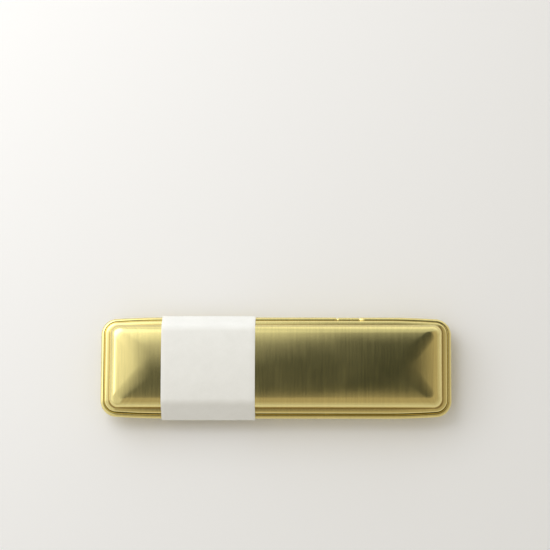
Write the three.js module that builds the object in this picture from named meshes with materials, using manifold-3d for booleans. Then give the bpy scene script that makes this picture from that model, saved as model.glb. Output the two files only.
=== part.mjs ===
// A pen case pressed from brass sheet: a shallow base, a crowned lid with a rolled bead,
// two hinges at the back, and a paper band over the lid.
// Millimetres, +Z up. X runs along the case, the hinges are on the +Y side, and the foot
// stands on Z = 0 with the middle of the case over the origin.

import * as THREE from "three";
import { mergeVertices } from "three/addons/utils/BufferGeometryUtils.js";
import Module from "manifold-3d";

const wasm = await Module();
wasm.setup();

const degrees = THREE.MathUtils.DEG2RAD;

// The outline, measured over the rolled bead of the lid
const caseLength = 194;
const caseWidth = 56.6;
const caseHeight = 21.4;
const cornerRadius = 9;
const straightLength = 122; // the middle of each long side is straight
const easeRadius = 412; // then a large arc draws it in towards the corner

// Brass sheet
const baseSheet = 0.6;
const lidSheet = 0.6;

// The lid: bead, skirt, ledge, raised wall, shoulder and crown
const beadRadius = 1.55;
const beadHeight = 9; // the bead's centre, which is also the hinge axis
const beadSlitAngle = 62 * degrees; // where the rolled edge ends, above the horizontal
const ledgeHeight = 13.5;
const ledgeBend = 1.2;
const ledgeFillet = 0.5;
const ledgeSlope = 6 * degrees; // down towards the outside
const wallInset = 5.3; // of the raised panel's wall from the outline
const panelCorner = 4.5;
const shoulderRadius = 5;
const crownAngle = 7 * degrees; // slope of the crown where it meets the shoulder
const crownPower = 9; // along the case: level for most of its length, then down to the ends

// The base
const skirtClearance = 0.35; // between the base's wall and the lid's skirt
const seatGap = 0.3; // between the base's rim and the lid's ledge
const baseFillet = 3.5;
const footWidth = 2.6;
const footRise = 0.6; // the floor stands this much above the foot
const floorCorner = 3;
const hemRadius = 0.4;
const hemDepth = 1.8;

// The two hinges
const hingeSpacing = 80;
const leafWidth = 12;
const leafSheet = 0.5;
const leafLean = 12 * degrees; // of the leaf between its plate and its knuckle
const leafCurl = 290 * degrees; // how far the knuckle is rolled round the pin
const knuckleGap = 0.4; // to the lid's bead at each side
const notchGap = 0.6; // to the lid's skirt above
const pinClearance = 0.15;
const pinReach = 6; // into the bead at each side of the knuckle
const rivetSpacing = 7;
const rivetRadius = 0.7;
const rivetHeadRadius = 1.2;
const rivetHeadHeight = 0.4;
const seamGap = 0.05; // between a leaf, its rivets and the wall

// The pressed dimples that hold the lid shut
const dimpleSpacing = 56;
const dimpleRadius = 0.9;
const dimpleHeight = 0.2;
const dimpleRoot = 0.1; // how far a dimple's hollow starts clear of the sheet

// The paper band
const bandWidth = 51.7;
const bandCentre = -37.2;
const bandPaper = 0.3;
const bandClearance = 0.3;
const bandFrontLeg = 2.4; // below the bead's centre; at the back the band ends level with it

// Where the pieces meet
const halfLength = caseLength / 2;
const halfWidth = caseWidth / 2;
const skirtInner = 2 * beadRadius;
const baseOuter = skirtInner + skirtClearance;
const baseInner = baseOuter + baseSheet;
const hinge = new THREE.Vector3(0, halfWidth - beadRadius, beadHeight);
const rimMiddle = ledgeHeight - lidSheet - seatGap - baseSheet / 2 - hemRadius;
const dimpleZ = rimMiddle - dimpleRadius;
const sectionSteps = { bead: 10, bend: 4, fillet: 3, shoulder: 6, crown: 4, hem: 5, foot: 4 };
const outlineSteps = { middle: 1, ease: 3, corner: 6, end: 1 };
const tightestCorner = 1.5;

// The outline blends from the bead's family, drawn in towards the corners, to a plain
// rounded rectangle further in: on the lid across the ledge, on the base across the floor.
const lidBlend = { from: baseInner, to: wallInset, radius: panelCorner };
const floorStart = baseOuter + baseFillet;
const baseBlend = { from: floorStart, to: floorStart + footWidth * 4, radius: floorCorner };

function arc(x, y, radius, start, end) {
  return new THREE.EllipseCurve(x, y, radius, radius, start, end, end < start);
}

function line(x0, y0, x1, y1) {
  return new THREE.LineCurve(new THREE.Vector2(x0, y0), new THREE.Vector2(x1, y1));
}

// Joins curves that meet end to end into one list of points, each curve in its own steps.
function trace(pieces) {
  const points = [pieces[0][0].getPoint(0)];
  for (const [curve, steps] of pieces) points.push(...curve.getPoints(steps).slice(1));
  return points;
}

// A quarter of the outline at an inset, from the middle of the back to the middle of an end.
function quarterOutline(inset, blend) {
  const share = THREE.MathUtils.clamp((inset - blend.from) / (blend.to - blend.from), 0, 1);
  const length = halfLength - inset;
  const width = halfWidth - inset;
  const ownRadius = Math.max(cornerRadius - inset, tightestCorner);
  const radius = Math.min(THREE.MathUtils.lerp(ownRadius, blend.radius, share), width);
  const bend = (1 - share) / (easeRadius - inset);
  const straight = straightLength / 2;
  const turn = length - radius;
  const lean = Math.asin((bend * (turn - straight)) / (1 - bend * radius));
  const easeEnd = turn + radius * Math.sin(lean);
  const ease = (x) => {
    const along = bend * (x - straight);
    return (along * (x - straight)) / (1 + Math.sqrt(1 - along * along));
  };
  const turnHeight = width - ease(easeEnd) - radius * Math.cos(lean);

  const points = line(0, width, straight, width).getPoints(outlineSteps.middle);
  for (let i = 1; i <= outlineSteps.ease; i += 1) {
    const x = THREE.MathUtils.lerp(straight, easeEnd, i / outlineSteps.ease);
    points.push(new THREE.Vector2(x, width - ease(x)));
  }
  const corner = arc(turn, turnHeight, radius, Math.PI / 2 - lean, 0);
  const end = line(length, turnHeight, length, 0);
  points.push(...corner.getPoints(outlineSteps.corner).slice(1));
  points.push(...end.getPoints(outlineSteps.end).slice(1));
  return points;
}

// The whole outline at an inset: the quarter, mirrored into the other three.
function outline(inset, blend) {
  const quarter = quarterOutline(inset, blend);
  const there = quarter.slice(0, -1);
  const back = quarter.slice(1).reverse();
  const turned = (points, x, y) => points.map((p) => new THREE.Vector2(p.x * x, p.y * y));
  return [...turned(there, 1, 1), ...turned(back, 1, -1), ...turned(there, -1, -1), ...turned(back, -1, 1)];
}

// Points beside a line of points, at a distance to its left. Corners are mitred.
function beside(points, distance) {
  return points.map((point, i) => {
    const before = points[Math.max(i - 1, 0)];
    const after = points[Math.min(i + 1, points.length - 1)];
    const arriving = (i ? point.clone().sub(before) : after.clone().sub(point)).normalize();
    const leaving = (i < points.length - 1 ? after.clone().sub(point) : arriving.clone()).normalize();
    const along = arriving.clone().add(leaving).normalize();
    const reach = distance / along.dot(leaving);
    return new THREE.Vector2(point.x - along.y * reach, point.y + along.x * reach);
  });
}

// A drawn shell: its section is a line of (inset, height) points, given the sheet's
// thickness and carried round the outline. It ends in the middle, where the outline
// has closed up to a line. Each point is then lifted by what its place calls for.
function drawnShell(section, sheet, blend, lift = () => 0) {
  const left = beside(section, sheet / 2);
  const right = beside(section, -sheet / 2);
  left.at(-1).x = halfWidth;
  right.at(-1).x = halfWidth;
  const loop = [...left.reverse(), ...right];
  const rings = loop.map(({ x: inset, y: height }) =>
    outline(inset, blend).map((p) => new THREE.Vector3(p.x, p.y, height + lift(p.x, p.y))),
  );
  const corners = [];
  const addTriangle = (...triangle) => {
    const [a, b, c] = triangle;
    const distinct = Math.min(a.distanceTo(b), b.distanceTo(c), c.distanceTo(a)) > 1e-4;
    if (distinct) corners.push(...triangle);
  };
  for (let k = 0; k + 1 < rings.length; k += 1) {
    const [upper, lower] = [rings[k], rings[k + 1]];
    for (let i = 0; i < upper.length; i += 1) {
      const j = (i + 1) % upper.length;
      addTriangle(upper[i], upper[j], lower[j]);
      addTriangle(upper[i], lower[j], lower[i]);
    }
  }
  return new THREE.BufferGeometry().setFromPoints(corners);
}

// A strip of sheet: its section is a line of (y, z) points, given a thickness and carried
// along X, half to each side of the middle.
function bentStrip(section, sheet, width) {
  const loop = [...beside(section, sheet / 2), ...beside(section, -sheet / 2).reverse()];
  const geometry = new THREE.ExtrudeGeometry(new THREE.Shape(loop), {
    depth: width,
    bevelEnabled: false,
  });
  const [x, y, z] = [0, 1, 2].map((axis) => new THREE.Vector3().setComponent(axis, 1));
  return geometry.translate(0, 0, -width / 2).applyMatrix4(new THREE.Matrix4().makeBasis(y, z, x));
}

function toSolid(geometry) {
  const bare = geometry.clone();
  for (const name of ["normal", "uv"]) bare.deleteAttribute(name);
  const merged = mergeVertices(bare, 1e-4);
  const vertProperties = new Float32Array(merged.attributes.position.array);
  const triVerts = new Uint32Array(merged.index.array);
  return new wasm.Manifold(new wasm.Mesh({ numProp: 3, vertProperties, triVerts }));
}

function toGeometry(solid) {
  const { vertProperties, triVerts } = solid.getMesh();
  const geometry = new THREE.BufferGeometry();
  geometry.setAttribute("position", new THREE.BufferAttribute(vertProperties, 3));
  geometry.setIndex(new THREE.BufferAttribute(triVerts, 1));
  geometry.computeVertexNormals();
  return geometry;
}

// Cuts some geometries out of a body and joins others to it.
function shaped(body, { cuts = [], joins = [] }) {
  let solid = toSolid(body);
  for (const join of joins) solid = solid.add(toSolid(join));
  for (const cut of cuts) solid = solid.subtract(toSolid(cut));
  return toGeometry(solid);
}

// A low cap pressed out of a wall that faces the front, with its rim on the plane y.
function frontCap(x, y, z, rootDepth) {
  const sphere = (dimpleRadius ** 2 + dimpleHeight ** 2) / (2 * dimpleHeight);
  const reach = Math.asin(dimpleRadius / sphere);
  const profile = trace([
    [line(0, -rootDepth, dimpleRadius, -rootDepth), 1],
    [line(dimpleRadius, -rootDepth, dimpleRadius, 0), 1],
    [arc(0, dimpleHeight - sphere, sphere, Math.PI / 2 - reach, Math.PI / 2), 3],
  ]);
  profile.at(-1).x = 0;
  return new THREE.LatheGeometry(profile, 16).rotateX(Math.PI).translate(x, y, z);
}

const dimplePlaces = [-dimpleSpacing / 2, dimpleSpacing / 2];
const hingePlaces = { left: -hingeSpacing / 2, right: hingeSpacing / 2 };

// Lid: from the free end of the rolled bead, up the skirt and over to the middle of the top
const skirtMiddle = skirtInner - lidSheet / 2;
const ledgeMiddle = ledgeHeight - lidSheet / 2;
const wallMiddle = wallInset + lidSheet / 2;
const bendMiddle = ledgeBend - lidSheet / 2;
const filletMiddle = ledgeFillet + lidSheet / 2;
const shoulderMiddle = shoulderRadius - lidSheet / 2;
const shoulderInset = wallMiddle + shoulderMiddle;
const crownInset = shoulderInset - shoulderMiddle * Math.sin(crownAngle);
const crownRise = ((halfWidth - crownInset) * Math.tan(crownAngle)) / 2;
const topMiddle = caseHeight - lidSheet / 2;
const shoulderHeight = topMiddle - crownRise - shoulderMiddle * Math.cos(crownAngle);

// The ledge slopes, and its middle is at the ledge's height.
const ledgeStart = skirtMiddle + bendMiddle * (1 - Math.sin(ledgeSlope));
const ledgeEnd = wallMiddle - filletMiddle * (1 - Math.sin(ledgeSlope));
const ledgeHalfRise = ((ledgeEnd - ledgeStart) * Math.tan(ledgeSlope)) / 2;
const bendHeight = ledgeMiddle - ledgeHalfRise - bendMiddle * Math.cos(ledgeSlope);
const filletHeight = ledgeMiddle + ledgeHalfRise + filletMiddle * Math.cos(ledgeSlope);

function lidSection() {
  const rolled = beadRadius - lidSheet / 2;
  const quarter = Math.PI / 2;
  const [bendX, filletX] = [skirtMiddle + bendMiddle, wallMiddle - filletMiddle];
  const crownStart = topMiddle - crownRise;
  const bead = arc(beadRadius, beadHeight, rolled, beadSlitAngle, 4 * quarter);
  const bend = arc(bendX, bendHeight, bendMiddle, 2 * quarter, quarter + ledgeSlope);
  const fillet = arc(filletX, filletHeight, filletMiddle, ledgeSlope - quarter, 0);
  const shoulder = arc(shoulderInset, shoulderHeight, shoulderMiddle, 2 * quarter, quarter + crownAngle);
  return trace([
    [bead, sectionSteps.bead],
    [line(skirtMiddle, beadHeight, skirtMiddle, bendHeight), 1],
    [bend, sectionSteps.bend],
    [new THREE.LineCurve(bend.getPoint(1), fillet.getPoint(0)), 1],
    [fillet, sectionSteps.fillet],
    [line(wallMiddle, filletHeight, wallMiddle, shoulderHeight), 1],
    [shoulder, sectionSteps.shoulder],
    [line(crownInset, crownStart, halfWidth, crownStart), sectionSteps.crown],
  ]);
}

// The crown rises as a parabola across the case. Along it, it is nearly level.
function crownLift(x, y) {
  const across = Math.abs(y) / (halfWidth - crownInset);
  const along = Math.abs(x) / (halfLength - crownInset);
  return crownRise * Math.max(1 - across ** 2, 0) * Math.max(1 - along ** crownPower, 0);
}

function lidShell() {
  const notchWidth = leafWidth + 2 * knuckleGap;
  const notchTop = beadHeight + beadRadius + notchGap;
  const notchBottom = beadHeight - 2 * beadRadius;
  const notchDepth = skirtInner + skirtClearance / 3;
  const notches = Object.values(hingePlaces).map((x) =>
    new THREE.BoxGeometry(notchWidth, 2 * notchDepth, notchTop - notchBottom).translate(
      x,
      halfWidth,
      (notchTop + notchBottom) / 2,
    ),
  );
  const outside = -(halfWidth - skirtInner + lidSheet);
  const inside = -(halfWidth - skirtInner);
  return shaped(drawnShell(lidSection(), lidSheet, lidBlend, crownLift), {
    joins: dimplePlaces.map((x) => frontCap(x, outside, dimpleZ, lidSheet / 2)),
    cuts: [...notches, ...dimplePlaces.map((x) => frontCap(x, inside, dimpleZ, dimpleRoot))],
  });
}

// Base: from the free end of the rim's hem, down the wall and over to the middle of the floor
function baseSection() {
  const wall = baseOuter + baseSheet / 2;
  const fillet = baseFillet - baseSheet / 2;
  const hem = wall + 2 * hemRadius;
  const bottom = baseSheet / 2;
  const footEnd = wall + fillet + footWidth;
  const step = new THREE.CubicBezierCurve(
    new THREE.Vector2(footEnd, bottom),
    new THREE.Vector2(footEnd + footRise, bottom),
    new THREE.Vector2(footEnd + footRise, bottom + footRise),
    new THREE.Vector2(footEnd + 2 * footRise, bottom + footRise),
  );
  return trace([
    [line(hem, rimMiddle - hemDepth, hem, rimMiddle), 1],
    [arc(wall + hemRadius, rimMiddle, hemRadius, 0, Math.PI), sectionSteps.hem],
    [line(wall, rimMiddle, wall, bottom + fillet), 1],
    [arc(wall + fillet, bottom + fillet, fillet, Math.PI, 1.5 * Math.PI), sectionSteps.foot],
    [line(wall + fillet, bottom, footEnd, bottom), 1],
    [step, sectionSteps.fillet],
    [line(footEnd + 2 * footRise, bottom + footRise, halfWidth, bottom + footRise), 1],
  ]);
}

// Hinges: a leaf riveted to the base's back wall is rolled round a pin, and the pin's ends
// turn in the lid's bead.
const pinRadius = beadRadius - lidSheet - pinClearance;
const knuckleMiddle = pinRadius + pinClearance + leafSheet / 2;
const plateY = halfWidth - baseOuter + seamGap + leafSheet / 2;
const leafStart = hinge.y - knuckleMiddle * Math.cos(leafLean);
const leanLength = (leafStart - plateY) / Math.sin(leafLean);
const plateTop = beadHeight + knuckleMiddle * Math.sin(leafLean) - leanLength * Math.cos(leafLean);
const plateBottom = baseFillet + rivetHeadHeight;
const rivetZ = (plateTop + plateBottom) / 2;
const rivetPlaces = [-rivetSpacing / 2, rivetSpacing / 2];

function rivetHole(x) {
  const length = 8 * baseSheet;
  const radius = rivetRadius + seamGap;
  return new THREE.CylinderGeometry(radius, radius, length, 12).translate(x, plateY, rivetZ);
}

function baseShell() {
  const outside = -(halfWidth - baseOuter);
  const inside = -(halfWidth - baseInner);
  const holes = Object.values(hingePlaces).flatMap((x) => rivetPlaces.map((dx) => rivetHole(x + dx)));
  return shaped(drawnShell(baseSection(), baseSheet, baseBlend), {
    joins: dimplePlaces.map((x) => frontCap(x, outside, dimpleZ, baseSheet / 2)),
    cuts: [...holes, ...dimplePlaces.map((x) => frontCap(x, inside, dimpleZ, dimpleRoot))],
  });
}

function hingeLeaf() {
  const start = Math.PI - leafLean;
  const leanStart = new THREE.Vector2(plateY, plateTop);
  const knuckle = arc(hinge.y, hinge.z, knuckleMiddle, start, start - leafCurl);
  const knuckleStart = knuckle.getPoint(0);
  const section = trace([
    [line(plateY, plateBottom, plateY, plateTop), 1],
    [new THREE.LineCurve(leanStart, knuckleStart), 1],
    [knuckle, 14],
  ]);
  return shaped(bentStrip(section, leafSheet, leafWidth), { cuts: rivetPlaces.map(rivetHole) });
}

function hingePin() {
  const length = leafWidth + 2 * knuckleGap + 2 * pinReach;
  return new THREE.CylinderGeometry(pinRadius, pinRadius, length, 16);
}

// A rivet along Y, with a domed head outside the leaf and a flat one inside the base.
function rivet() {
  const outerFace = plateY + leafSheet / 2 + seamGap;
  const innerFace = halfWidth - baseInner - seamGap;
  const dome = (rivetHeadRadius ** 2 + rivetHeadHeight ** 2) / (2 * rivetHeadHeight);
  const profile = [
    new THREE.Vector2(0, innerFace - rivetHeadHeight / 2),
    new THREE.Vector2(rivetHeadRadius, innerFace - rivetHeadHeight / 2),
    new THREE.Vector2(rivetHeadRadius, innerFace),
    new THREE.Vector2(rivetRadius, innerFace),
    new THREE.Vector2(rivetRadius, outerFace),
    ...arc(
      0,
      outerFace + rivetHeadHeight - dome,
      dome,
      Math.PI / 2 - Math.asin(rivetHeadRadius / dome),
      Math.PI / 2,
    ).getPoints(4),
  ];
  profile.at(-1).x = 0;
  return new THREE.LatheGeometry(profile, 12);
}

// The band runs straight from bead to shoulder, as paper does that is pulled round the lid.
function bandSection() {
  const offset = bandClearance + bandPaper / 2;
  const bead = new THREE.Vector2(halfWidth - beadRadius, beadHeight);
  const shoulder = new THREE.Vector2(halfWidth - shoulderInset, shoulderHeight);
  const between = shoulder.clone().sub(bead);
  const leaves = between.angle() - Math.acos((beadRadius - shoulderRadius) / between.length());
  const beadArc = arc(bead.x, bead.y, beadRadius + offset, 0, leaves);
  const shoulderArc = arc(shoulder.x, shoulder.y, shoulderRadius + offset, leaves, Math.PI / 2 - crownAngle);
  const crownStart = shoulderArc.getPoint(1);
  const top = caseHeight + offset;
  const crown = new THREE.QuadraticBezierCurve(
    crownStart,
    new THREE.Vector2(crownStart.x / 2, top),
    new THREE.Vector2(0, top),
  );
  const half = trace([
    [beadArc, 3],
    [new THREE.LineCurve(beadArc.getPoint(1), shoulderArc.getPoint(0)), 1],
    [shoulderArc, 5],
    [crown, 4],
  ]);
  const mirrored = half.slice(0, -1).reverse().map((p) => new THREE.Vector2(-p.x, p.y));
  const frontEnd = new THREE.Vector2(mirrored.at(-1).x, beadHeight - bandFrontLeg);
  return [...half, ...mirrored, frontEnd];
}

const polishedBrass = new THREE.MeshStandardMaterial({ color: 0xc9ae5d, roughness: 0.28, metalness: 1 });
const brushedBrass = new THREE.MeshStandardMaterial({ color: 0xc4a956, roughness: 0.36, metalness: 1 });
const plainPaper = new THREE.MeshStandardMaterial({ color: 0xf1f0ec, roughness: 0.85, metalness: 0 });

function piece(name, geometry, material) {
  const mesh = new THREE.Mesh(geometry, material);
  mesh.name = name;
  return mesh;
}

const base = new THREE.Group();
base.add(piece("base_shell", baseShell(), brushedBrass));
for (const [side, x] of Object.entries(hingePlaces)) {
  const set = new THREE.Group();
  set.position.x = x;
  set.add(piece(`hinge_leaf_${side}`, hingeLeaf(), polishedBrass));
  const pin = piece(`hinge_pin_${side}`, hingePin(), polishedBrass);
  pin.position.copy(hinge);
  pin.rotation.z = Math.PI / 2;
  set.add(pin);
  rivetPlaces.forEach((dx, i) => {
    const fastener = piece(`hinge_rivet_${side}_${i + 1}`, rivet(), polishedBrass);
    fastener.position.set(dx, 0, rivetZ);
    set.add(fastener);
  });
  base.add(set);
}

// The lid and the band on it turn about the hinge axis, which is their group's origin.
const lid = new THREE.Group();
lid.position.copy(hinge);
const lidMesh = piece("lid_shell", lidShell(), brushedBrass);
const bandMesh = piece("paper_band", bentStrip(bandSection(), bandPaper, bandWidth), plainPaper);
lidMesh.position.copy(hinge).negate();
bandMesh.position.copy(hinge).negate().add(new THREE.Vector3(bandCentre, 0, 0));
lid.add(lidMesh, bandMesh);

const penCase = new THREE.Group();
penCase.add(base, lid);

export default penCase;
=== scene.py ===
# %% [markdown]
# # A pen case pressed from brass sheet
#
# The case is two shells of thin brass sheet, drawn in a press: a shallow base, and a lid with a
# rolled bead, a ledge and a crowned panel. Two small hinges join them at the back, and a paper band
# lies over the lid. A construction model already gives each piece its size and place. This lesson
# makes the surfaces that are seen: smooth sheet, brushed metal, paper, and the light they need.

# %% Load the construction model
import math

import bmesh
import bpy
import numpy as np
from mathutils import Matrix, Vector


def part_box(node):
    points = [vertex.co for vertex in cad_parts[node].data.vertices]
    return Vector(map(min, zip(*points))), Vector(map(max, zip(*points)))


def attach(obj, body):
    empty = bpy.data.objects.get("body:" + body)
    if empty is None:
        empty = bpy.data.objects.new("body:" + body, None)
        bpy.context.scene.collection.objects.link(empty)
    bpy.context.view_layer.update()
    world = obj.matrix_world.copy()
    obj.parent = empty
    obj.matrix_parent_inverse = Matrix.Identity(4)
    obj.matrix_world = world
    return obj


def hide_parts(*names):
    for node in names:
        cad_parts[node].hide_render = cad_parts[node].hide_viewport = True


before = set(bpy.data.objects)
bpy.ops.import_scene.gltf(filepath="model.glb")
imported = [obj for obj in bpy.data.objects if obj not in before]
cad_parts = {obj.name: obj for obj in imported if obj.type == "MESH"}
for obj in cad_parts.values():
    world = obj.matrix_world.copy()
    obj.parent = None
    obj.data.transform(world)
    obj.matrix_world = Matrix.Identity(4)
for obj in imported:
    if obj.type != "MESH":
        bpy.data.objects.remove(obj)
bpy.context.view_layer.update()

# %% [markdown]
# ## Sizes
#
# Blender works in metres here, and a small product is easier to read in millimetres, so sizes are
# written as a number times `MM`. The outer sizes come from the construction model. The rest are the
# pressing's own sizes: how far in from the outline a feature lies (its inset), and how high.

# %% Sizes of the pressing
MM = 0.001
half_length, half_width, lid_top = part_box("lid_shell")[1]

sheet = 0.6 * MM
corner_radius = 9 * MM
half_straight = 61 * MM
ease_radius = 412 * MM
bead_radius = 1.55 * MM
bead_height = 9 * MM
bead_slit_angle = math.radians(62)
ledge_height = 13.5 * MM
ledge_bend = 1.2 * MM
ledge_fillet = 0.5 * MM
ledge_slope = math.radians(6)
wall_inset = 5.3 * MM
panel_corner = 4.5 * MM
shoulder_radius = 5 * MM
crown_angle = math.radians(7)
smallest_corner = 1.5 * MM
skirt_clearance = 0.35 * MM
cut_rounding = 0.06 * MM
case_size = (2 * half_length, 2 * half_width, lid_top)
print("closed case, mm:", [round(size / MM, 1) for size in case_size])

# %% [markdown]
# ## Lines for a section
#
# Every shell here is one line of sheet seen from its end, carried round the case. The line is made
# of straight stretches and arcs that meet end to end. An arc is a centre plus a radius turned
# through evenly spaced angles, so its points are two arrays, and no loop is needed.

# %% Straight stretches and arcs
quarter_turn, half_turn, full_turn = math.pi / 2, math.pi, 2 * math.pi


def straight(start, end, steps):
    """Points from start to end at even spacing: start plus a share of the difference."""
    share = np.linspace(0, 1, steps + 1)[:, None]
    return np.array(start) + share * (np.array(end) - np.array(start))


def arc(centre, radius, first, last, steps):
    """Points on a circle: the centre plus the radius times cosine and sine of even angles."""
    angle = np.linspace(first, last, steps + 1)
    return np.array(centre) + radius * np.stack([np.cos(angle), np.sin(angle)], -1)


def joined(*stretches):
    """Stretches that meet end to end, as one line with each shared point kept once."""
    return np.concatenate([stretches[0]] + [stretch[1:] for stretch in stretches[1:]])


def length_along(line):
    """Distance from the line's first point to each point: the running sum of the steps."""
    steps = np.linalg.norm(np.diff(line, axis=0), axis=1)
    return np.concatenate([[0], np.cumsum(steps)])


# %% [markdown]
# ## The outline
#
# Seen from above, the long sides are straight in the middle. Over the last stretch before a corner
# they draw in gently on a very large arc, and then a small arc turns the corner. Further in, at the
# raised panel, the press tool is a plain rounded rectangle. A ring of the shell is that outline at
# one inset, so all rings are worked out at once: insets down the rows, places round the case across
# the columns. Only a quarter is worked out. The other three are its mirror images. Along the
# straight stretch the points lie close together at a dimple, and fall on both ends of a hinge's
# notch, so that each comes out clean.

# %% Where the points of a quarter outline lie
hinge_x = 40 * MM
leaf_half = 6 * MM
knuckle_gap = 0.4 * MM
notch_half = leaf_half + knuckle_gap
dimple_x = 28 * MM
dimple_radius = 0.9 * MM

straight_x = np.concatenate([
    np.linspace(0, dimple_x - dimple_radius, 8)[:-1],
    np.linspace(dimple_x - dimple_radius, dimple_x + dimple_radius, 11),
    np.linspace(dimple_x + dimple_radius, hinge_x - notch_half, 3)[1:],
    np.linspace(hinge_x - notch_half, hinge_x + notch_half, 7)[1:],
    np.linspace(hinge_x + notch_half, half_straight, 5)[1:],
])
ease_share = np.linspace(0, 1, 11)[1:]
corner_share = np.linspace(0, 1, 15)[1:]
end_share = np.linspace(0, 1, 8)[1:]
quarter_points = sum(len(part) for part in (straight_x, ease_share, corner_share, end_share))
print("points in a quarter:", quarter_points)

# %% Rings of the outline at many insets
def quarter_rings(inset, radius, bend):
    """One quarter of each ring, and the way out from it. The long side is straight, then falls by
    x squared over twice the ease radius (in the exact form for a circle), then turns on the corner
    radius where both arcs share a tangent, and runs straight to the middle of the end."""
    inset, radius, bend = (np.asarray(v, float)[:, None] for v in (inset, radius, bend))
    length, width = half_length - inset, half_width - inset
    turn = length - radius
    lean = np.arcsin(bend * (turn - half_straight) / (1 - bend * radius))

    def fall(x):
        slope = bend * (x - half_straight)
        return slope * (x - half_straight) / (1 + np.sqrt(1 - slope**2))

    ease_end = turn + radius * np.sin(lean)
    turn_height = width - fall(ease_end) - radius * np.cos(lean)
    ease_x = half_straight + ease_share * (ease_end - half_straight)
    angle = (quarter_turn - lean) * (1 - corner_share)
    side_x = straight_x + 0 * inset
    x = np.hstack([side_x, ease_x, turn + radius * np.cos(angle), length + 0 * end_share])
    y = np.hstack([
        width + 0 * side_x,
        width - fall(ease_x),
        turn_height + radius * np.sin(angle),
        turn_height * (1 - end_share),
    ])
    ahead = np.hstack([
        quarter_turn + 0 * side_x,
        quarter_turn - np.arcsin(bend * (ease_x - half_straight)),
        angle,
        0 * length + 0 * end_share,
    ])
    return x, y, np.cos(ahead), np.sin(ahead)


def whole_rings(quarter):
    """The quarter, mirrored: x and y change sign in turn, and every second quarter runs backwards,
    so that each ring goes once round, clockwise as seen from above."""
    x, y, out_x, out_y = quarter

    def round_the_case(values, sign_x, sign_y):
        there, back = values[:, :-1], values[:, :0:-1]
        signs = [(1, 1), (1, -1), (-1, -1), (-1, 1)]
        parts = [there, back, there, back]
        return np.hstack([
            part * (sx if sign_x else 1) * (sy if sign_y else 1)
            for part, (sx, sy) in zip(parts, signs)
        ])

    return (
        round_the_case(x, True, False),
        round_the_case(y, False, True),
        round_the_case(out_x, True, False),
        round_the_case(out_y, False, True),
    )


# %% [markdown]
# ## From a section to a sheet
#
# The section's points give each ring its inset and height, and the rings become a grid of
# four-sided faces. Two more things travel with the points. One is where each point lay in the flat
# sheet before pressing, because the brushing was done first and its hairlines must run over the
# edges and down the walls as the metal does. That goes into a UV map. The other is how sharply the
# section bends there: outward bends get rubbed bright, and inward ones get a painted shade.

# %% The sheet as a grid of rings
bend_reach = 0.7 * MM


def bends(line, reach):
    """How much the section turns per millimetre, positive where it turns clockwise: the change of
    direction divided by the mean length of the two steps beside each point. It is smoothed by a
    mean over the whole line, weighted by e to the minus squared distance over squared reach."""
    step = np.diff(line, axis=0)
    heading = np.unwrap(np.arctan2(step[:, 1], step[:, 0]))
    length = np.linalg.norm(step, axis=1)
    turn = np.zeros(len(line))
    turn[1:-1] = np.diff(heading) / ((length[1:] + length[:-1]) / 2)
    at = length_along(line)
    weight = np.exp(-(((at[:, None] - at[None, :]) / reach) ** 2))
    weight *= np.gradient(at)[None, :]
    return -(weight @ turn) / weight.sum(1) * MM


def pressed_rings(section, radius, bend, flat_from):
    """A shell's points, flat-sheet places and bends, each as a grid. Rings from number flat_from
    inwards keep their own x and y in the flat sheet. Rings outside it lie beyond that ring, straight
    out from it by the length of section between them."""
    rings = whole_rings(quarter_rings(section[:, 0], radius, bend))
    x, y, out_x, out_y = rings
    height = section[:, 1][:, None] + 0 * x
    run = length_along(section)
    beyond = np.maximum(run[flat_from] - run, 0)[:, None]
    inner = (np.arange(len(section)) >= flat_from)[:, None]
    flat_x = np.where(inner, x, x[flat_from] + out_x[flat_from] * beyond)
    flat_y = np.where(inner, y, y[flat_from] + out_y[flat_from] * beyond)
    bend_grid = bends(section, bend_reach)[:, None] + 0 * x
    return np.stack([x, y, height], -1), np.stack([flat_x, flat_y], -1), bend_grid


# %% A grid as a mesh
same_place = 0.001 * MM


def grid_piece(name, points, flat, marks, keep=None, closed=True):
    """A mesh from a grid of points. Face (r, c) joins rows r and r + 1 and columns c and c + 1, and
    on a closed grid the last column meets the first. keep says which faces stay. Points that
    coincide are merged, so that a ring that has shrunk to a line closes."""
    rows, columns = points.shape[:2]
    index = np.arange(rows * columns).reshape(rows, columns)
    ahead = np.roll(index, -1, axis=1)
    if not closed:
        index, ahead = index[:, :-1], ahead[:, :-1]
    faces = np.stack([index[:-1], index[1:], ahead[1:], ahead[:-1]], -1)
    if keep is not None:
        faces = faces[keep]
    faces = faces.reshape(-1, 4)

    mesh = bpy.data.meshes.new(name)
    mesh.vertices.add(rows * columns)
    mesh.vertices.foreach_set("co", points.ravel())
    mesh.loops.add(faces.size)
    mesh.loops.foreach_set("vertex_index", faces.ravel())
    mesh.polygons.add(len(faces))
    mesh.polygons.foreach_set("loop_start", np.arange(0, faces.size, 4))
    uv = mesh.uv_layers.new(name="flat sheet")
    uv.data.foreach_set("uv", flat.reshape(-1, 2)[faces.ravel()].ravel())
    for mark, values in marks.items():
        layer = mesh.attributes.new(mark, "FLOAT", "POINT")
        layer.data.foreach_set("value", values.ravel())
    mesh.update(calc_edges=True)

    work = bmesh.new()
    work.from_mesh(mesh)
    bmesh.ops.remove_doubles(work, verts=work.verts, dist=same_place)
    loose = [v for v in work.verts if not v.link_faces]
    bmesh.ops.delete(work, geom=loose, context="VERTS")
    work.to_mesh(mesh)
    work.free()
    mesh.validate()
    piece = bpy.data.objects.new(name, mesh)
    bpy.context.scene.collection.objects.link(piece)
    return piece


cut_edge_angle = math.radians(60)
hard_edge_angle = math.radians(35)


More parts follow.
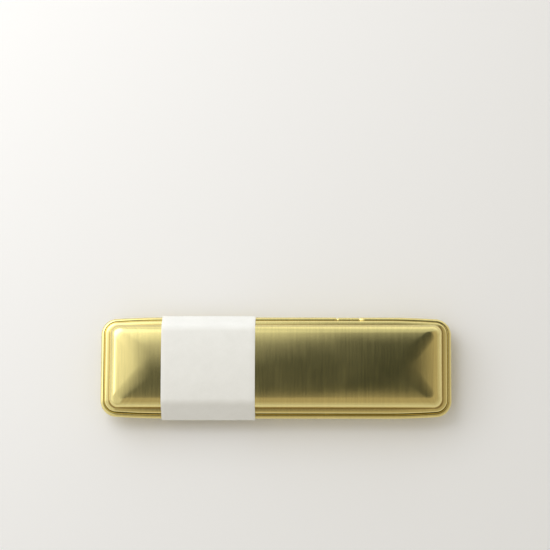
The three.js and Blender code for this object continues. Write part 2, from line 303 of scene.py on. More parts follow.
def finished(piece, thickness=0, edge=0):
    """Gives a sheet its thickness, half to each side, rounds its cut edges, and applies both. Faces
    that still meet at a steep angle keep a hard edge between them."""
    if thickness:
        wall = piece.modifiers.new("wall", "SOLIDIFY")
        wall.thickness, wall.offset, wall.use_even_offset = thickness, 0, True
    if edge:
        rounding = piece.modifiers.new("edge", "BEVEL")
        rounding.width, rounding.segments, rounding.limit_method = edge, 2, "ANGLE"
        rounding.angle_limit = cut_edge_angle
    shaped = piece.evaluated_get(bpy.context.evaluated_depsgraph_get())
    mesh = bpy.data.meshes.new_from_object(shaped)
    mesh.name = piece.name
    piece.modifiers.clear()
    piece.data = mesh
    mesh.shade_smooth()
    mesh.set_sharp_from_angle(angle=hard_edge_angle)
    print(piece.name, "faces:", len(mesh.polygons))
    return piece


# %% [markdown]
# ## The lid's section
#
# From outside in: the sheet's free edge is rolled round into a bead, which stiffens the rim and,
# at the back, holds the hinge pins. Then comes the skirt, the ledge, the wall of the raised panel,
# its shoulder, and the crown. The bead isn't quite closed, and the slit beside the skirt shows as a
# fine dark line all round. The ledge slopes down a little towards the outside. The crown is a
# parabola, level in the middle of the lid. A parabola is twice as steep at its end as the straight
# line to it, so half the rise of a straight slope makes it leave the shoulder at the right angle.

# %% Work out the lid's section
skirt_middle = 2 * bead_radius - sheet / 2
ledge_middle = ledge_height - sheet / 2
wall_middle = wall_inset + sheet / 2
bend_middle = ledge_bend - sheet / 2
fillet_middle = ledge_fillet + sheet / 2
shoulder_middle = shoulder_radius - sheet / 2
shoulder_inset = wall_middle + shoulder_middle
crown_inset = shoulder_inset - shoulder_middle * math.sin(crown_angle)
crown_rise = (half_width - crown_inset) * math.tan(crown_angle) / 2
crown_start_height = lid_top - sheet / 2 - crown_rise
shoulder_height = crown_start_height - shoulder_middle * math.cos(crown_angle)
notch_gap = 0.6 * MM
notch_top = bead_height + bead_radius + notch_gap

crown_share = np.linspace(0, 1, 19)
crown = np.stack([
    crown_inset + (half_width - crown_inset) * crown_share,
    crown_start_height + crown_rise * (1 - (1 - crown_share) ** 2),
], -1)
ledge_start = skirt_middle + bend_middle * (1 - math.sin(ledge_slope))
ledge_end = wall_middle - fillet_middle * (1 - math.sin(ledge_slope))
half_rise = (ledge_end - ledge_start) * math.tan(ledge_slope) / 2
bend_height = ledge_middle - half_rise - bend_middle * math.cos(ledge_slope)
fillet_height = ledge_middle + half_rise + fillet_middle * math.cos(ledge_slope)
bead_steps, low_skirt_steps = 26, 8
bead_centre = (bead_radius, bead_height)
bend_centre = (skirt_middle + bend_middle, bend_height)
fillet_centre = (wall_middle - fillet_middle, fillet_height)
shoulder_centre = (shoulder_inset, shoulder_height)
lid_section = joined(
    arc(bead_centre, bead_radius - sheet / 2, bead_slit_angle, full_turn, bead_steps),
    straight((skirt_middle, bead_height), (skirt_middle, notch_top), low_skirt_steps),
    straight((skirt_middle, notch_top), (skirt_middle, bend_height), 5),
    arc(bend_centre, bend_middle, half_turn, quarter_turn + ledge_slope, 7),
    straight((ledge_start, ledge_middle - half_rise), (ledge_end, ledge_middle + half_rise), 2),
    arc(fillet_centre, fillet_middle, ledge_slope - quarter_turn, 0, 6),
    straight((wall_middle, fillet_height), (wall_middle, shoulder_height), 2),
    arc(shoulder_centre, shoulder_middle, half_turn, quarter_turn + crown_angle, 14),
    crown,
)
crown_start = len(lid_section) - len(crown)
print("length of the lid's section, mm:", round(length_along(lid_section)[-1] / MM, 1))

# %% [markdown]
# Across the ledge the outline changes from the soft one of the bead to the panel's plain rounded
# rectangle. On the crown the corner radius grows again towards the middle, so the slope runs on
# round the corners, and the rings end as long ovals. With square corners a crease would run in from
# each of them, and a pressing that was never folded has none.

# %% How round the corners are at each inset
corner_growth = 0.25
nearly_nothing = 1e-6 * MM
base_outer = 2 * bead_radius + skirt_clearance
base_inner = base_outer + sheet


def lid_corners(inset):
    """Corner radius and side bend at each inset. The radius shrinks with the inset, blends to the
    panel's own, and on the crown grows until it meets the half width that is left. The smaller of
    those two is taken smoothly: each is turned into one over its fourth power, and the fourth root
    of one over their sum is the result."""
    own = np.maximum(corner_radius - inset, smallest_corner)
    share = np.clip((inset - base_inner) / (wall_inset - base_inner), 0, 1)
    radius = own + share * (panel_corner - own)
    growing = panel_corner + corner_growth * (inset - crown_inset)
    room = np.maximum(half_width - inset, nearly_nothing)
    rounded = 1 / ((1 / growing) ** 4 + (1 / room) ** 4) ** 0.25
    radius = np.where(inset > crown_inset, rounded, radius)
    return radius, (1 - share) / (ease_radius - inset)


# %% [markdown]
# ## The lid
#
# Two places interrupt the rings. At each hinge the bead and the lower skirt are cut away so that the
# knuckle fits between, which is done by leaving those faces out before the sheet is given its
# thickness. At the front two shallow dimples are pressed outward. Their height over the skirt is the
# square of one minus the squared distance from the centre, so they rise without an edge. A drawn
# panel is never perfectly even either, so the crown gets a few hundredths of a millimetre of long,
# soft waves, which grow from nothing at its edge. They are too low to be seen themselves, but a
# reflection shows them. On the bead it is the sheet's other side that shows, so what bends outward
# there is what bends inward by the section.

# %% Press the lid
dimple_height = 0.2 * MM
seat_gap = 0.3 * MM
hem_radius = 0.4 * MM
wave_height = 0.03 * MM
wave_ramp = 10 * MM
rim_middle = ledge_height - sheet - seat_gap - sheet / 2 - hem_radius
dimple_z = rim_middle - dimple_radius


def press_dimples(points, outer_y):
    """Moves the front wall, which lies at minus outer_y, outward at both dimples. The squared
    distance from a dimple's centre, over its squared radius, is taken from one, and the square of
    what is left times the dimple's height is the move."""
    x, y, z = points[..., 0], points[..., 1], points[..., 2]
    away = ((np.abs(x) - dimple_x) ** 2 + (z - dimple_z) ** 2) / dimple_radius**2
    bump = np.clip(1 - away, 0, 1) ** 2 * (np.abs(y + outer_y) < sheet / 2)
    points[..., 1] = y - dimple_height * bump


def panel_waves(x, y):
    """Long waves that cross at an angle: a sum of three sines, each with its own direction."""
    return (
        np.sin(x / (19 * MM) + y / (31 * MM) + 0.4)
        + 0.8 * np.sin(x / (11 * MM) - y / (17 * MM) + 2.1)
        + 0.5 * np.sin(x / (47 * MM) + y / (12 * MM) + 4.0)
    )


lid_radius, lid_bend = lid_corners(lid_section[:, 0])
lid_points, lid_flat, lid_bends = pressed_rings(lid_section, lid_radius, lid_bend, crown_start)
press_dimples(lid_points, half_width - skirt_middle)
lid_x, lid_y = lid_points[..., 0], lid_points[..., 1]
wave_share = np.clip((lid_section[:, 0] - crown_inset) / wave_ramp, 0, 1)[:, None]
lid_points[..., 2] += wave_height * wave_share * panel_waves(lid_x, lid_y)

# The slit gets a painted shade: a dark mark on the sheet round the gap, where shade falls.
slit_place = np.array([2.35 * MM, bead_height + 0.88 * bead_radius])
slit_reach = 0.35 * MM
to_slit = np.linalg.norm(lid_section - slit_place, axis=1)
slit_shade = np.exp(-((to_slit / slit_reach) ** 2))[:, None] + 0 * lid_bends
outward = np.where(np.arange(len(lid_section)) <= bead_steps, -1, 1)[:, None] * lid_bends
# The crevice mark is painted shade, on inward bends and round the slit.
lid_marks = {
    "rubbed": np.clip(outward, 0, 1) * (1 - slit_shade),
    "crevice_shade": np.clip(np.maximum(-outward, slit_shade), 0, 1),
}

ring_x = (lid_points[0, :, 0] + np.roll(lid_points[0, :, 0], -1)) / 2
at_hinge = (np.abs(np.abs(ring_x) - hinge_x) < notch_half) & (lid_points[0, :, 1] > 0)
notch_rows = (np.arange(len(lid_section) - 1) < bead_steps + low_skirt_steps)[:, None]
lid = grid_piece("lid", lid_points, lid_flat, lid_marks, ~(at_hinge & notch_rows))
finished(lid, sheet, cut_rounding)

# %% [markdown]
# ## The base
#
# The base is drawn from the same sheet. Its rim is folded inward into a hem, so that no raw edge is
# met inside the case, and its floor is pressed up a little within a flat rim that it stands on. It
# is one section again, from the hem's free edge to the middle of the floor. It runs the other way
# round its bends than the lid's does, so what counts as outward changes its sign.

# %% Press the base
base_fillet = 3.5 * MM
foot_width = 2.6 * MM
foot_rise = 0.6 * MM
rise_width = 2 * foot_rise
hem_depth = 1.8 * MM
floor_corner = 3 * MM
floor_steps = 8

base_wall = base_outer + sheet / 2
foot_fillet = base_fillet - sheet / 2
hem_inset = base_wall + 2 * hem_radius
foot_start = base_wall + foot_fillet
foot_end = foot_start + foot_width
rise_share = np.linspace(0, 1, 9)
rise = np.stack([
    foot_end + rise_width * rise_share,
    sheet / 2 + foot_rise * (3 * rise_share**2 - 2 * rise_share**3),
], -1)
base_section = joined(
    straight((hem_inset, rim_middle - hem_depth), (hem_inset, rim_middle), 2),
    arc((base_wall + hem_radius, rim_middle), hem_radius, 0, half_turn, 10),
    straight((base_wall, rim_middle), (base_wall, rim_middle - 2 * dimple_radius), 8),
    straight((base_wall, rim_middle - 2 * dimple_radius), (base_wall, sheet / 2 + foot_fillet), 3),
    arc((foot_start, sheet / 2 + foot_fillet), foot_fillet, half_turn, 1.5 * half_turn, 10),
    straight((foot_start, sheet / 2), (foot_end, sheet / 2), 2),
    rise,
    straight(rise[-1], (half_width, rise[-1][1]), floor_steps),
)
floor_start = len(base_section) - floor_steps - 1


def base_corners(inset):
    """Corner radius and side bend at each inset. The radius shrinks with the inset and blends to the
    floor's own over four widths of the foot, and never passes the half width that is left."""
    own = np.maximum(corner_radius - inset, smallest_corner)
    share = np.clip((inset - foot_start) / (4 * foot_width), 0, 1)
    radius = np.minimum(own + share * (floor_corner - own), np.maximum(half_width - inset, 0))
    return radius, (1 - share) / (ease_radius - inset)


base_radius, base_bend = base_corners(base_section[:, 0])
base_points, base_flat, base_bends = pressed_rings(base_section, base_radius, base_bend, floor_start)
press_dimples(base_points, half_width - base_wall)
# The crevice mark is painted shade on the base's inward bends.
base_marks = {
    "rubbed": np.clip(-base_bends, 0, 1)[::-1],
    "crevice_shade": np.clip(base_bends, 0, 1)[::-1],
}
base = grid_piece("base", base_points[::-1], base_flat[::-1], base_marks)
finished(base, sheet, cut_rounding)

# %% [markdown]
# ## The hinges
#
# A leaf is a strip of sheet: flat where it is riveted to the base, then leaning out, then rolled
# round the pin. It is the same kind of surface as the shells, but its section is carried straight
# along X. The lower corners are rounded by making the strip narrower there, by a quarter circle.

# %% Roll the hinge leaves
leaf_sheet = 0.5 * MM
leaf_corner = 1.6 * MM
leaf_lean = math.radians(12)
leaf_curl = math.radians(290)
leaf_lift = 0.4 * MM
pin_clearance = 0.15 * MM
face_clearance = 0.05 * MM
hinge_sides = {"left": -hinge_x, "right": hinge_x}

pin_radius = bead_radius - sheet - pin_clearance
knuckle_middle = pin_radius + pin_clearance + leaf_sheet / 2
axis_y, axis_z = half_width - bead_radius, bead_height
plate_y = half_width - base_outer + face_clearance + leaf_sheet / 2
lean_y = axis_y - knuckle_middle * math.cos(leaf_lean)
lean_z = axis_z + knuckle_middle * math.sin(leaf_lean)
plate_top = lean_z - (lean_y - plate_y) / math.tan(leaf_lean)
plate_bottom = base_fillet + leaf_lift

knuckle_first = half_turn - leaf_lean
leaf_section = joined(
    straight((plate_y, plate_bottom), (plate_y, plate_bottom + leaf_corner), 8),
    straight((plate_y, plate_bottom + leaf_corner), (plate_y, plate_top), 2),
    straight((plate_y, plate_top), (lean_y, lean_z), 3),
    arc((axis_y, axis_z), knuckle_middle, knuckle_first, knuckle_first - leaf_curl, 36),
)


def strip_points(section, half, middle_x, across):
    """A strip's grid: x is the middle plus the row's half width times a share from -1 to 1, and y
    and z follow the section."""
    x = middle_x + half[:, None] * across[None, :]
    y = section[:, 0][:, None] + 0 * x
    z = section[:, 1][:, None] + 0 * x
    flat = np.stack([x, length_along(section)[:, None] + 0 * x], -1)
    return np.stack([x, y, z], -1), flat


def plain_marks(points):
    """No bend marks: no rubbed edges and no painted crevice shade at any point."""
    none = np.zeros(points.shape[:2])
    return {"rubbed": none, "crevice_shade": none}


climb = np.clip(1 - length_along(leaf_section) / leaf_corner, 0, 1)
leaf_width = leaf_half - leaf_corner * (1 - np.sqrt(1 - climb**2))
leaves = {}
for side, middle_x in hinge_sides.items():
    points, flat = strip_points(leaf_section, leaf_width, middle_x, np.linspace(1, -1, 13))
    leaf = grid_piece(f"leaf_{side}", points, flat, plain_marks(points), closed=False)
    leaves[side] = finished(leaf, leaf_sheet, cut_rounding)

# %% [markdown]
# ## Pins and rivets
#
# Both are turned pieces: a profile of (radius, place along the axis) carried round an axis. The pin
# is a rod with its ends rounded over. A rivet has a domed head outside the leaf and a flat one
# inside the case. Their ends close on the axis, where the ring shrinks to a point.

# %% Turn the pins and rivets
def turned_points(profile, centre, axis, across, steps=32):
    """Rings round an axis: the centre, plus the profile's place along the axis, plus its radius
    times cosine and sine of the turn in the two directions square to the axis."""
    axis, across = np.array(axis, float), np.array(across, float)
    third = np.cross(axis, across)
    turn = np.linspace(0, full_turn, steps, endpoint=False)
    ring = np.cos(turn)[:, None] * across + np.sin(turn)[:, None] * third
    along = profile[:, 1][:, None, None] * axis
    points = np.array(centre) + along + profile[:, 0][:, None, None] * ring[None]
    flat = np.stack(np.broadcast_arrays(turn[None, :] * MM, length_along(profile)[:, None]), -1)
    return points, flat


pin_half = 12.4 * MM
pin_round = 0.3 * MM
pin_profile = joined(
    straight((0, -pin_half), (pin_radius - pin_round, -pin_half), 2),
    arc((pin_radius - pin_round, -pin_half + pin_round), pin_round, -quarter_turn, 0, 5),
    straight((pin_radius, -pin_half + pin_round), (pin_radius, pin_half - pin_round), 2),
    arc((pin_radius - pin_round, pin_half - pin_round), pin_round, 0, quarter_turn, 5),
    straight((pin_radius - pin_round, pin_half), (0, pin_half), 2),
)
rivet_radius = 0.7 * MM
head_radius = 1.2 * MM
head_height = 0.4 * MM
outer_face = plate_y + leaf_sheet / 2 + face_clearance
inner_face = half_width - base_inner - face_clearance
inner_end = inner_face - head_height / 2
dome = (head_radius**2 + head_height**2) / (2 * head_height)
dome_centre = (0, outer_face + head_height - dome)
dome_edge = math.asin(head_radius / dome)
rivet_profile = joined(
    straight((0, inner_end), (head_radius, inner_end), 2),
    straight((head_radius, inner_end), (head_radius, inner_face), 1),
    straight((head_radius, inner_face), (rivet_radius, inner_face), 1),
    straight((rivet_radius, inner_face), (rivet_radius, outer_face), 1),
    straight((rivet_radius, outer_face), (head_radius, outer_face), 1),
    arc(dome_centre, dome, quarter_turn - dome_edge, quarter_turn, 8),
)
rivet_z = (plate_top + plate_bottom) / 2
rivet_x = 3.5 * MM

pins, rivets = {}, {}
for side, middle_x in hinge_sides.items():
    points, flat = turned_points(pin_profile, (middle_x, axis_y, axis_z), (1, 0, 0), (0, 1, 0))
    pin = grid_piece(f"pin_{side}", points[::-1], flat[::-1], plain_marks(points))
    pins[side] = finished(pin)
    for number, offset in ((1, -rivet_x), (2, rivet_x)):
        centre = (middle_x + offset, 0, rivet_z)
        points, flat = turned_points(rivet_profile, centre, (0, 1, 0), (1, 0, 0))
        rivet = grid_piece(f"rivet_{side}_{number}", points[::-1], flat[::-1], plain_marks(points))
        rivets[side, number] = finished(rivet)

# %% [markdown]
# ## The paper band
#
# A strip of plain white card lies over the lid. Paper pulled round a shape touches only its high
# places, so between the bead and the shoulder it runs straight, along the line that touches both
# arcs. The line leaves each arc where the arc's own direction is the line's.

# %% Fold the band over the lid
band_low, band_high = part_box("paper_band")
band_width = band_high.x - band_low.x
band_middle_x = (band_high.x + band_low.x) / 2
paper = 0.3 * MM
paper_clearance = 0.3 * MM
paper_rounding = 0.04 * MM
paper_middle = paper_clearance + paper / 2
front_leg = 2.4 * MM

shoulder_y = half_width - shoulder_inset
between_y, between_z = shoulder_y - axis_y, shoulder_height - axis_z
lean_between = math.acos((bead_radius - shoulder_radius) / math.hypot(between_y, between_z))
leaves_at = math.atan2(between_z, between_y) - lean_between
meets_crown_at = quarter_turn - crown_angle
bead_arc = arc((axis_y, axis_z), bead_radius + paper_middle, 0, leaves_at, 8)
shoulder_arc = arc(
    (shoulder_y, shoulder_height), shoulder_radius + paper_middle, leaves_at, meets_crown_at, 12
)
crown_y = shoulder_arc[-1, 0]
band_share = np.linspace(0, 1, 13)
band_top = lid_top + paper_middle
band_crown = np.stack([
    crown_y * (1 - band_share),
    band_top - (band_top - shoulder_arc[-1, 1]) * (1 - band_share) ** 2,
], -1)
half_band = joined(bead_arc, straight(bead_arc[-1], shoulder_arc[0], 5), shoulder_arc, band_crown)
mirrored = half_band[::-1] * np.array([-1, 1])
front_end = straight(mirrored[-1], (mirrored[-1, 0], axis_z - front_leg), 4)
band_section = joined(half_band, mirrored, front_end)
band_half = np.full(len(band_section), band_width / 2)
band_across = np.linspace(-1, 1, 21)
band_points, band_flat = strip_points(band_section, band_half, band_middle_x, band_across)
band = grid_piece("band", band_points, band_flat, plain_marks(band_points), closed=False)
finished(band, paper, paper_rounding)

# %% [markdown]
# ## Brushed brass
#
# The sheet was brushed along Y before it was pressed. Each hairline is a groove, and thousands of
# them side by side spread a reflection across the grooves, along X, and leave it sharp along them.
# The shader has a setting for that, anisotropy, and a tangent that says which way is across. Both
# the tangent and the hairlines take their direction from the flat-sheet map. Finer still are the
# changes in tone: brass darkens unevenly in air and is paler along edges that are handled. Crevices
# and the bead's slit get a painted shade, a dark brown where shade falls.

# %% Small helpers for materials
def new_material(name):
    """A material with an empty node tree, its shader and its output."""
    material = bpy.data.materials.new(name)
    material.use_nodes = True
    tree = material.node_tree
    tree.nodes.clear()
    shader = tree.nodes.new("ShaderNodeBsdfPrincipled")
    output = tree.nodes.new("ShaderNodeOutputMaterial")
    tree.links.new(shader.outputs["BSDF"], output.inputs["Surface"])
    return material, tree, shader


def plug(tree, source, node, socket):
    """Feeds a socket: from another node's socket if source is one, and otherwise with the value."""
    if isinstance(source, bpy.types.NodeSocket):
        tree.links.new(source, node.inputs[socket])
    else:
        node.inputs[socket].default_value = source


def grain(tree, place, stretch, detail=3.0, roughness=0.5):
    """Noise from 0 to 1 whose grains are one over the stretch long in each direction."""
    mapping = tree.nodes.new("ShaderNodeMapping")
    mapping.inputs["Scale"].default_value = stretch
    tree.links.new(place, mapping.inputs["Vector"])
    noise = tree.nodes.new("ShaderNodeTexNoise")
    noise.inputs["Scale"].default_value = 1
    noise.inputs["Detail"].default_value = detail
    noise.inputs["Roughness"].default_value = roughness
    tree.links.new(mapping.outputs["Vector"], noise.inputs["Vector"])
    return noise.outputs["Fac"]


def spread(tree, value, low, high, to_low, to_high, kind="LINEAR"):
    """Takes a value's range from low to high to another range, and holds it there."""
    node = tree.nodes.new("ShaderNodeMapRange")
    node.interpolation_type = kind
    plug(tree, value, node, "Value")
    ends = {"From Min": low, "From Max": high, "To Min": to_low, "To Max": to_high}
    for socket, number in ends.items():
        node.inputs[socket].default_value = number
    return node.outputs["Result"]


def eased(tree, value, low, high):
    """A smooth step from 0 at low to 1 at high: with s the share of the way between, three times s
    squared less two times s cubed."""
    return spread(tree, value, low, high, 0, 1, "SMOOTHSTEP")


def sums(tree, operation, first, second):
    """One step of arithmetic on two values."""
    node = tree.nodes.new("ShaderNodeMath")
    node.operation = operation
    plug(tree, first, node, 0)
    plug(tree, second, node, 1)
    return node.outputs["Value"]


def blended(tree, share, first, second):
    """A colour between two colours: the first where the share is 0, the second where it is 1."""
    node = tree.nodes.new("ShaderNodeMix")
    node.data_type = "RGBA"
    plug(tree, share, node, "Factor")
    for socket, colour in ((6, first), (7, second)):
        plug(tree, colour, node, socket)
    return node.outputs[2]


def mark(tree, name):
    """The value of a mark that was stored on the mesh's points."""
    node = tree.nodes.new("ShaderNodeAttribute")
    node.attribute_name = name
    return node.outputs["Fac"]


groove_depth = 0.02 * MM


def uneven(tree, shader, height, strength):
    """Makes a surface look uneven: the shader's normal leans as it would on a real relief of the
    groove depth times the height, and the strength weakens that."""
    bump = tree.nodes.new("ShaderNodeBump")
    bump.inputs["Strength"].default_value = strength
    bump.inputs["Distance"].default_value = groove_depth
    tree.links.new(height, bump.inputs["Height"])
    tree.links.new(bump.outputs["Normal"], shader.inputs["Normal"])


# %% Brass, brushed across the case
dark_brass = (0.765, 0.659, 0.281, 1)
light_brass = (0.915, 0.790, 0.337, 1)
tarnished_brass = (0.79, 0.655, 0.280, 1)
rubbed_brass = (0.92, 0.780, 0.340, 1)
# The dark brown below is painted shade, put into crevices and the bead's slit.
painted_shade_brass = (0.34, 0.225, 0.065, 1)


def brushed_brass(name, across, hair_depth, dull):
    """across is how strongly the reflection is spread across the hairlines, hair_depth how deep they
    look, and dull the middle roughness. A grain's stretch is in grains per metre, across the
    brushing and then along it."""
    material, tree, shader = new_material(name)
    flat_sheet = tree.nodes.new("ShaderNodeUVMap")
    flat_sheet.uv_map = "flat sheet"
    place = flat_sheet.outputs["UV"]
    hair = grain(tree, place, (5200, 60, 1), detail=4.0, roughness=0.6)
    streak = grain(tree, place, (1150, 40, 1), detail=4.0, roughness=0.7)
    cloud = grain(tree, place, (38, 55, 1), detail=4.0)
    patch = grain(tree, place, (11, 24, 1), detail=2.0)

    streak_tone = spread(tree, streak, 0.35, 0.65, 0, 0.7)
    tone = sums(tree, "ADD", streak_tone, spread(tree, cloud, 0.3, 0.7, 0, 0.3))
    metal = blended(tree, tone, dark_brass, light_brass)
    # The third blend is painted shade: dark brown where shade falls in crevices and the slit.
    for share, colour in (
        (spread(tree, patch, 0.45, 0.75, 0, 0.35), tarnished_brass),
        (spread(tree, mark(tree, "rubbed"), 0.1, 0.9, 0, 0.35), rubbed_brass),
        (spread(tree, mark(tree, "crevice_shade"), 0.1, 0.7, 0, 0.9), painted_shade_brass),
    ):
        metal = blended(tree, share, metal, colour)
    tree.links.new(metal, shader.inputs["Base Color"])

    streak_rough = spread(tree, streak, 0.25, 0.75, dull - 0.012, dull + 0.012)
    rough = sums(tree, "ADD", streak_rough, spread(tree, cloud, 0.25, 0.75, -0.015, 0.015))
    rough = sums(tree, "SUBTRACT", rough, spread(tree, mark(tree, "rubbed"), 0, 1, 0, 0.08))
    tree.links.new(rough, shader.inputs["Roughness"])
    shader.inputs["Metallic"].default_value = 1
    shader.inputs["Anisotropic"].default_value = across
    tangent = tree.nodes.new("ShaderNodeTangent")
    tangent.direction_type = "UV_MAP"
    tangent.uv_map = "flat sheet"
    tree.links.new(tangent.outputs["Tangent"], shader.inputs["Tangent"])

    relief = sums(tree, "ADD", sums(tree, "MULTIPLY", hair, 0.35), sums(tree, "MULTIPLY", streak, 0.4))
    uneven(tree, shader, relief, hair_depth)
    return material


shell_brass = brushed_brass("brushed brass sheet", across=0.6, hair_depth=0.10, dull=0.15)
hinge_brass = brushed_brass("hinge brass", across=0.3, hair_depth=0.08, dull=0.20)
print("brass materials:", shell_brass.name, "and", hinge_brass.name)

# %% [markdown]
# ## Paper
#
# The band is uncoated white card. Its fibres lie every way, so it is matt, with a faint mottle and a
# surface that is only just uneven. Both are noise worked out from the place in the piece itself.

# %% White card
grey_fibre = (0.85, 0.855, 0.835, 1)
white_fibre = (0.91, 0.915, 0.90, 1)


def white_card(name):
    """Matt white paper. Half of its tone comes from fine noise, the fibres, and half from noise about
    ten times as coarse, the mottle. The fibres also set the roughness and the relief."""
    material, tree, shader = new_material(name)
    coordinates = tree.nodes.new("ShaderNodeTexCoord")
    place = coordinates.outputs["Object"]
    fibre = grain(tree, place, (1500, 1500, 1500), detail=5.0, roughness=0.65)
    mottle = grain(tree, place, (160, 160, 160), detail=3.0)
    fibre_tone = spread(tree, fibre, 0.3, 0.7, 0, 0.5)
    tone = sums(tree, "ADD", fibre_tone, spread(tree, mottle, 0.3, 0.7, 0, 0.5))
    tree.links.new(blended(tree, tone, grey_fibre, white_fibre), shader.inputs["Base Color"])
    tree.links.new(spread(tree, fibre, 0.2, 0.8, 0.78, 0.92), shader.inputs["Roughness"])
    shader.inputs["Specular IOR Level"].default_value = 0.3
    uneven(tree, shader, fibre, strength=0.35)
    return material


card = white_card("white card")
print("paper material:", card.name)

# %% [markdown]
# ## Which piece moves with what
#
# Each new piece takes the place of a piece of the construction model, which is hidden, moves with
# the same body, and gets its material.

# %% Hand the pieces over
def hand_over(piece, node, body, material):
    """Puts the material on a piece, fixes it to a body, and lets it stand for a node."""
    piece.data.materials.clear()
    piece.data.materials.append(material)
    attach(piece, body)
    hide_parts(node)


hand_over(base, "base_shell", "base", shell_brass)
hand_over(lid, "lid_shell", "lid", shell_brass)
hand_over(band, "paper_band", "band", card)
for side in hinge_sides:
    hand_over(leaves[side], f"hinge_leaf_{side}", "base", hinge_brass)
    hand_over(pins[side], f"hinge_pin_{side}", "base", hinge_brass)
    for number in (1, 2):
        rivet = rivets[side, number]
        hand_over(rivet, f"hinge_rivet_{side}_{number}", "base", hinge_brass)

# %% [markdown]
# ## Floor and surroundings
#
# Metal shows its surroundings, so these matter as much as the lamp. In a studio for small products
# the walls are pale, and straight above hangs the camera with whoever works it, which makes a dark
# place in the brass. The world is therefore worked out from the direction looked in. Overhead it is
# dark. Further off, each of four sides has its own colour, which is pale at the left and the back,
# and amber at the front and the right. Low down it grows pale all round, more so behind the case
# than in front of it. The floor is a plain pale sheet.

# %% Lay the floor
floor_reach = 6.0
floor_white = (0.93, 0.935, 0.955, 1)


def pale_floor():
    """One square face at height zero, whose corners lie the floor's reach from both axes."""
    corners = [(floor_reach * x, floor_reach * y, 0) for x, y in ((-1, -1), (1, -1), (1, 1), (-1, 1))]
    mesh = bpy.data.meshes.new("floor")
    mesh.from_pydata(corners, [], [(0, 1, 2, 3)])
    floor = bpy.data.objects.new("floor", mesh)
    bpy.context.scene.collection.objects.link(floor)
    material, tree, shader = new_material("pale floor")
    shader.inputs["Base Color"].default_value = floor_white
    shader.inputs["Roughness"].default_value = 0.9
    shader.inputs["Specular IOR Level"].default_value = 0.2
    mesh.materials.append(material)
    return floor


floor = pale_floor()
print("floor, m:", tuple(round(v, 1) for v in floor.dimensions))

# %% Paint the surroundings
overhead = (0.027, 0.034, 0.029)
towards = {
    "left": ((-1, 0), (0.068, 0.205), (0.73, 0.71, 0.67)),
    "right": ((0.99, -0.13), (0.09, 0.26), (0.45, 0.385, 0.29)),
    "front": ((0.45, -0.9), (0.045, 0.13), (0.42, 0.358, 0.265)),
    "back": ((-0.45, 0.9), (0.28, 0.40), (0.58, 0.585, 0.56)),
}
low_front = (0.62, 0.60, 0.55, 1)
low_back = (1.12, 1.14, 1.13, 1)
leftward = 0.8
front_to_back = (-0.6, 0.8)
low_to_high = (0.10, 0.80)


def of_colours(tree, operation, first, second):
    """One step of arithmetic on two colours, channel by channel."""
    node = tree.nodes.new("ShaderNodeVectorMath")
    node.operation = operation
    plug(tree, first, node, 0)
    plug(tree, second, node, 1)
    return node.outputs["Vector"]


def studio_sky():
    """The sky's colour from its direction (x, y, z). How far the direction leans to a side is its x
    and y, each times the side's own, summed. High up each side gives its colour times a smooth step
    of that lean from start to full, the largest of the four counts in each channel, and the dark
    colour overhead is added. Low down it goes from one colour to another by a smooth step of y less
    a share of x, and from low to high by a smooth step of z."""
    world = bpy.data.worlds.new("studio")
    bpy.context.scene.world = world
    world.use_nodes = True
    tree = world.node_tree
    tree.nodes.clear()
    coordinates = tree.nodes.new("ShaderNodeTexCoord")
    parts = tree.nodes.new("ShaderNodeSeparateXYZ")
    tree.links.new(coordinates.outputs["Generated"], parts.inputs["Vector"])
    x, y, z = (parts.outputs[axis] for axis in "XYZ")
    high = (0, 0, 0)
    for (along_x, along_y), (start, full), colour in towards.values():
        lean_x, lean_y = sums(tree, "MULTIPLY", x, along_x), sums(tree, "MULTIPLY", y, along_y)
        lit = eased(tree, sums(tree, "ADD", lean_x, lean_y), start, full)
        high = of_colours(tree, "MAXIMUM", high, of_colours(tree, "MULTIPLY", lit, colour))
    high = of_colours(tree, "ADD", high, overhead)
    behind = sums(tree, "SUBTRACT", y, sums(tree, "MULTIPLY", x, leftward))
    low = blended(tree, eased(tree, behind, *front_to_back), low_front, low_back)
    colour = blended(tree, eased(tree, z, *low_to_high), low, high)
    background = tree.nodes.new("ShaderNodeBackground")
    tree.links.new(colour, background.inputs["Color"])
    output = tree.nodes.new("ShaderNodeOutputWorld")
    tree.links.new(background.outputs["Background"], output.inputs["Surface"])
    print("sky nodes:", len(tree.nodes))


studio_sky()

# %% [markdown]
# ## The lamp
#
# One large soft lamp hangs behind and to the left, face down, given by the corner that comes nearest
# to the point over the case. It is brightest in its middle and fades towards its edges, so its
# reflection ends softly at the panel's back and left end. Its power is its brightness times its area
# times pi.

# %% Hang the lamp
def fade_edges(light, shares):
    """Lets a lamp fade towards its four edges, as a cloth-covered one does. Across the lamp, one minus
    twice the distance from its middle line is 0 at an edge and 1 on the line. A smooth step up to a
    given share of that, once for each direction, is the brightness."""
    light.use_nodes = True
    tree = light.node_tree
    emission = next(node for node in tree.nodes if node.type == "EMISSION")
    geometry = tree.nodes.new("ShaderNodeNewGeometry")
    parts = tree.nodes.new("ShaderNodeSeparateXYZ")
    tree.links.new(geometry.outputs["Parametric"], parts.inputs["Vector"])
    faded = 1
    for axis, share in zip("XY", shares):
        off_middle = sums(tree, "ABSOLUTE", sums(tree, "SUBTRACT", parts.outputs[axis], 0.5), 0)
        inwards = sums(tree, "SUBTRACT", 1, sums(tree, "MULTIPLY", off_middle, 2))
        faded = sums(tree, "MULTIPLY", faded, eased(tree, inwards, 0, share))
    tree.links.new(faded, emission.inputs["Strength"])


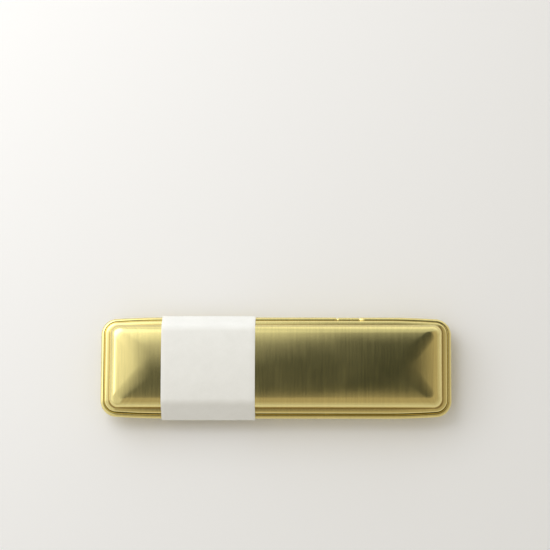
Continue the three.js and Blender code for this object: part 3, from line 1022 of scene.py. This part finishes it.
def soft_lamp(name, corner, turn, size, fades, brightness, colour=(1, 1, 1)):
    """A rectangular lamp, face down and turned in plan. Its middle lies half its size from the given
    corner, to the left and back. Each fade is how far in from an edge it is at full brightness, and
    twice that over the size is the share that fade_edges takes. Cameras don't see the lamp, so it
    never stands before the case in a view from the side."""
    light = bpy.data.lights.new(name, "AREA")
    light.shape = "RECTANGLE"
    light.size, light.size_y = size
    light.energy = brightness * size[0] * size[1] * math.pi
    light.color = colour
    fade_edges(light, [2 * fade / side for fade, side in zip(fades, size)])
    lamp = bpy.data.objects.new(name, light)
    to_middle = Vector((-size[0] / 2, size[1] / 2, 0))
    to_middle.rotate(Matrix.Rotation(turn, 3, "Z"))
    lamp.location = Vector(corner) + to_middle
    lamp.rotation_euler = (0, 0, turn)
    lamp.visible_camera = False
    bpy.context.scene.collection.objects.link(lamp)
    return lamp


lamp = soft_lamp(
    "soft lamp", corner=(0.12, 0.078, 0.62), turn=math.radians(9), size=(1.5, 1.3),
    fades=(0.42, 0.35), brightness=2.3, colour=(0.99, 0.99, 1.0),
)
print("lamp middle, m:", [round(v, 2) for v in lamp.location])

# %% [markdown]
# ## Camera
#
# The camera hangs almost straight above, about eight degrees towards the front and one towards the
# right, and far enough off that the case's sides look parallel. Those two tilts give the direction
# from the case to the camera. The case lies low in the picture, so the camera looks at a point
# behind it. The lens follows from how many pixels long the case is.

# %% Hang the camera
picture_size = 550
case_pixel = (275.9, 367.9)
pixels_long = 349.9
tilt_front = math.radians(8.3)
tilt_right = math.radians(1.0)
picture_turn = math.radians(0.22)
camera_distance = 1.6
sensor_mm = 36


def picture_axes(to_eye):
    """The picture's right and up for a direction to the eye: up is +Y less its part along that
    direction, and right is square to both."""
    up = (Vector((0, 1, 0)) - to_eye * to_eye.y).normalized()
    return up.cross(to_eye), up


pixel = 2 * half_length * math.cos(tilt_right) / pixels_long
to_camera = Vector((math.tan(tilt_right), -math.tan(tilt_front), 1)).normalized()
case_middle = Vector((0, 0, bead_height))
eye = case_middle + to_camera * camera_distance
right, up = picture_axes(to_camera)
offset = Vector((picture_size / 2 - case_pixel[0], case_pixel[1] - picture_size / 2, 0)) * pixel
offset.rotate(Matrix.Rotation(picture_turn, 3, "Z"))
look_at = case_middle + right * offset.x + up * offset.y
back = (eye - look_at).normalized()
right, up = picture_axes(back)
camera_data = bpy.data.cameras.new("camera")
camera_data.sensor_width = sensor_mm
camera_data.lens = sensor_mm * (eye - look_at).length / (picture_size * pixel)
camera = bpy.data.objects.new("camera", camera_data)
turned = Matrix((right, up, back)).transposed().to_4x4()
camera.matrix_world = Matrix.Translation(eye) @ turned @ Matrix.Rotation(picture_turn, 4, "Z")
bpy.context.scene.collection.objects.link(camera)
bpy.context.scene.camera = camera
bpy.context.scene.view_settings.view_transform = "Standard"
print("pixel, mm:", round(pixel / MM, 4), "lens, mm:", round(camera_data.lens))
